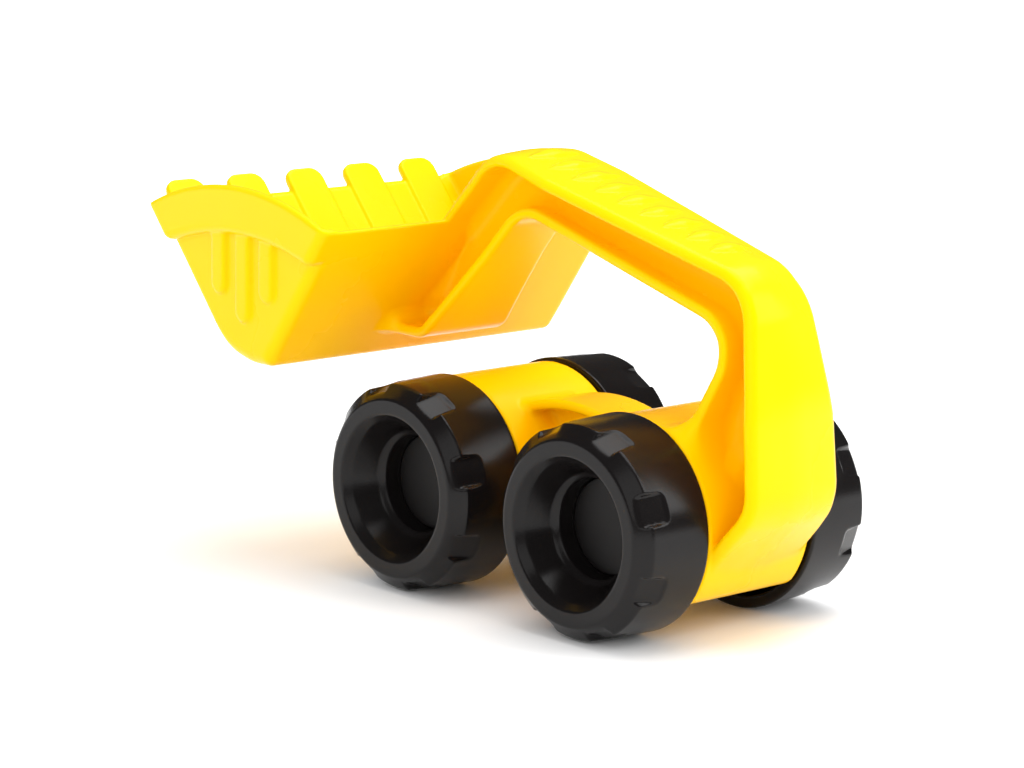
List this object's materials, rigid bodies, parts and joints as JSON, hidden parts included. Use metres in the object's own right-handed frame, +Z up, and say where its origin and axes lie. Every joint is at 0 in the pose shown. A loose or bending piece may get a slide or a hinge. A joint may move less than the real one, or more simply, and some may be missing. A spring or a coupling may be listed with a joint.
{
  "type": "toy excavator",
  "caption": "Hand-pushed sand toy: toothed scoop bucket on a carrying-handle arm, joined to fat axle barrels on free-spinning chunky wheels.",
  "frame": {"origin": "on the floor, under the middle of the toy's overall box, 31.7 mm ahead of the midpoint between the two axles", "axes": "+X forward to the bucket, +Y to the toy's left along the axles, +Z up"},
  "size_m": [0.2448, 0.138, 0.1437],
  "materials": {
    "yellow_plastic": "glossy injection-moulded yellow plastic",
    "black_wheel": "semi-gloss black moulded plastic",
    "black_cap": "semi-gloss black moulded plastic",
    "axle_steel": "bright drawn steel rod",
    "nut_steel": "zinc-plated spring steel"
  },
  "bodies": {
    "toy_body": {"bucket": "yellow_plastic", "arm_handle": "yellow_plastic", "front_barrel": "yellow_plastic", "rear_barrel": "yellow_plastic", "bridge": "yellow_plastic", "front_axle": "axle_steel", "rear_axle": "axle_steel", "axle_push_nuts": "nut_steel"},
    "front_left_wheel": {"front_left_wheel": "black_wheel", "front_left_hub_cap": "black_cap"},
    "front_right_wheel": {"front_right_wheel": "black_wheel", "front_right_hub_cap": "black_cap"},
    "rear_left_wheel": {"rear_left_wheel": "black_wheel", "rear_left_hub_cap": "black_cap"},
    "rear_right_wheel": {"rear_right_wheel": "black_wheel", "rear_right_hub_cap": "black_cap"}
  },
  "joints": [
    {"name": "front_left_wheel_spin", "type": "hinge", "parent": "toy_body", "child": "front_left_wheel", "pos_m": [0.01058, 0, 0.035], "axis": [0, 1, 0], "continuous": true},
    {"name": "front_right_wheel_spin", "type": "hinge", "parent": "toy_body", "child": "front_right_wheel", "pos_m": [0.01058, 0, 0.035], "axis": [0, 1, 0], "continuous": true},
    {"name": "rear_left_wheel_spin", "type": "hinge", "parent": "toy_body", "child": "rear_left_wheel", "pos_m": [-0.07402, 0, 0.035], "axis": [0, 1, 0], "continuous": true},
    {"name": "rear_right_wheel_spin", "type": "hinge", "parent": "toy_body", "child": "rear_right_wheel", "pos_m": [-0.07402, 0, 0.035], "axis": [0, 1, 0], "continuous": true}
  ]
}
